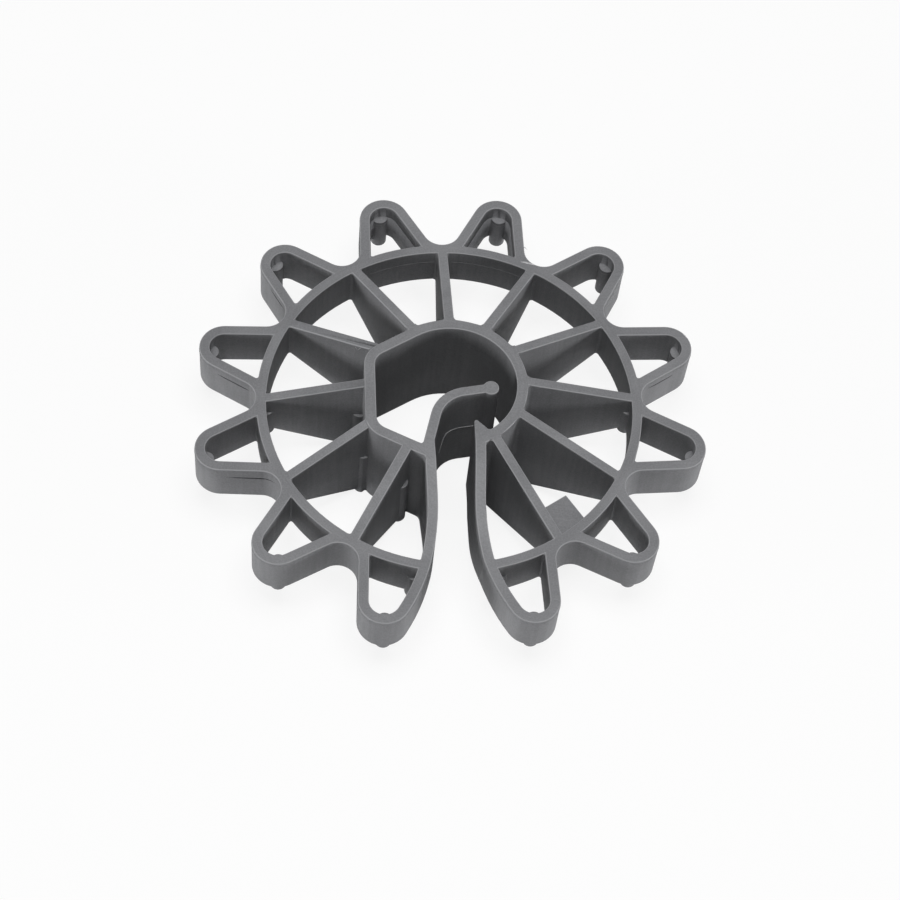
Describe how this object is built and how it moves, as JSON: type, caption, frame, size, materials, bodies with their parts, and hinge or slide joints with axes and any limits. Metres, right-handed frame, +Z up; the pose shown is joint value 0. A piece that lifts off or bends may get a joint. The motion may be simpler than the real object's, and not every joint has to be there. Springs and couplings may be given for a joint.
{
  "type": "rebar wheel spacer",
  "caption": "Plastic wheel spacer for a reinforcing bar: a rim of hollow lobes on radial webs around a hub with a bar seat, an entry slot and a springy tongue.",
  "frame": {"origin": "on the wheel's axis, at the lower end of the hub", "axes": "+Z up along the wheel's axis, the slot opens toward -Y, the tongue's root is on the -X side of the slot"},
  "size_m": [0.1172, 0.1156, 0.028],
  "materials": {
    "grey_plastic": "satin grey moulded plastic with a fine grain"
  },
  "bodies": {
    "root": {"wheel_spacer": "grey_plastic"}
  },
  "joints": []
}
